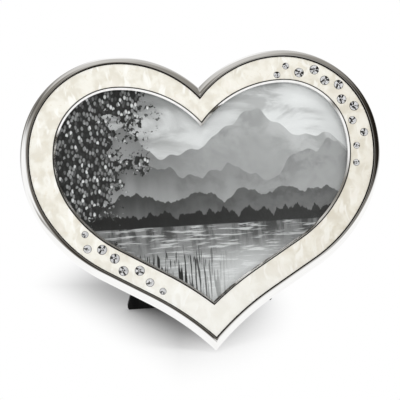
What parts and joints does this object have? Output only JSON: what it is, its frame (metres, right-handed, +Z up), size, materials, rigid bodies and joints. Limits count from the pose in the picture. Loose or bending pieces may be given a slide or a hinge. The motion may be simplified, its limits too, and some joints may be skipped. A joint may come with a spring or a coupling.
{
  "type": "heart shaped photo frame",
  "caption": "Heart shaped table frame with a plated cast rim, pearl enamel band, crystal accents, glazed print and a hinged velvet easel back.",
  "frame": {"origin": "middle of the footprint, on the table", "axes": "+X to the viewer's right, -Y towards the viewer, +Z up; the front leans back 20 degrees"},
  "size_m": [0.2034, 0.0852, 0.1578],
  "materials": {
    "plated_casting": "bright nickel plate over a zinc casting",
    "pearl_enamel": "glossy cream enamel with swirls of mother of pearl",
    "crystal": "clear faceted crystal, foiled behind",
    "clear_glass": "polished float glass",
    "printed_paper": "satin photographic paper with a greyscale print",
    "grey_card": "grey pulp card",
    "hardboard": "brown pressed hardboard",
    "black_velvet": "short black velvet pile",
    "nickel_steel": "nickel plated pressed steel",
    "nickel_rivet": "nickel plated rivets, tumbled",
    "nickel_screw": "nickel plated screws and washers"
  },
  "bodies": {
    "frame": {"back_board": "hardboard", "back_velvet": "black_velvet", "backing_card": "grey_card", "button_screws": "nickel_screw", "button_washers": "nickel_screw", "frame_casting": "plated_casting", "glass_pane": "clear_glass", "hinge_pin": "nickel_steel", "hinge_plate": "nickel_steel", "hinge_plate_rivets": "nickel_rivet", "lower_crystals_large": "crystal", "lower_crystals_medium": "crystal", "lower_crystals_small": "crystal", "pearl_inlay": "pearl_enamel", "print_insert": "printed_paper", "upper_crystals_large": "crystal", "upper_crystals_medium": "crystal", "upper_crystals_small": "crystal"},
    "easel_leg": {"hinge_leaf": "nickel_steel", "hinge_leaf_rivets": "nickel_rivet", "leg_board": "hardboard", "leg_velvet": "black_velvet"},
    "upper_right_button": {"turn_button_upper_right": "nickel_steel"},
    "upper_left_button": {"turn_button_upper_left": "nickel_steel"},
    "lower_right_button": {"turn_button_lower_right": "nickel_steel"},
    "lower_left_button": {"turn_button_lower_left": "nickel_steel"}
  },
  "joints": [
    {"name": "leg_hinge", "type": "hinge", "parent": "frame", "child": "easel_leg", "pos_m": [0, 0.00522, 0.10758], "axis": [-1, 0, 0], "range_deg": [0, 38.7]},
    {"name": "upper_right_button_pivot", "type": "hinge", "parent": "frame", "child": "upper_right_button", "pos_m": [0.06211, 0.01853, 0.14971], "axis": [0, -0.9397, 0.342], "continuous": true},
    {"name": "upper_left_button_pivot", "type": "hinge", "parent": "frame", "child": "upper_left_button", "pos_m": [-0.06211, 0.01853, 0.14971], "axis": [0, -0.9397, 0.342], "continuous": true},
    {"name": "lower_right_button_pivot", "type": "hinge", "parent": "frame", "child": "lower_right_button", "pos_m": [0.06926, -0.01724, 0.05144], "axis": [0, -0.9397, 0.342], "continuous": true},
    {"name": "lower_left_button_pivot", "type": "hinge", "parent": "frame", "child": "lower_left_button", "pos_m": [-0.06926, -0.01724, 0.05144], "axis": [0, -0.9397, 0.342], "continuous": true}
  ]
}
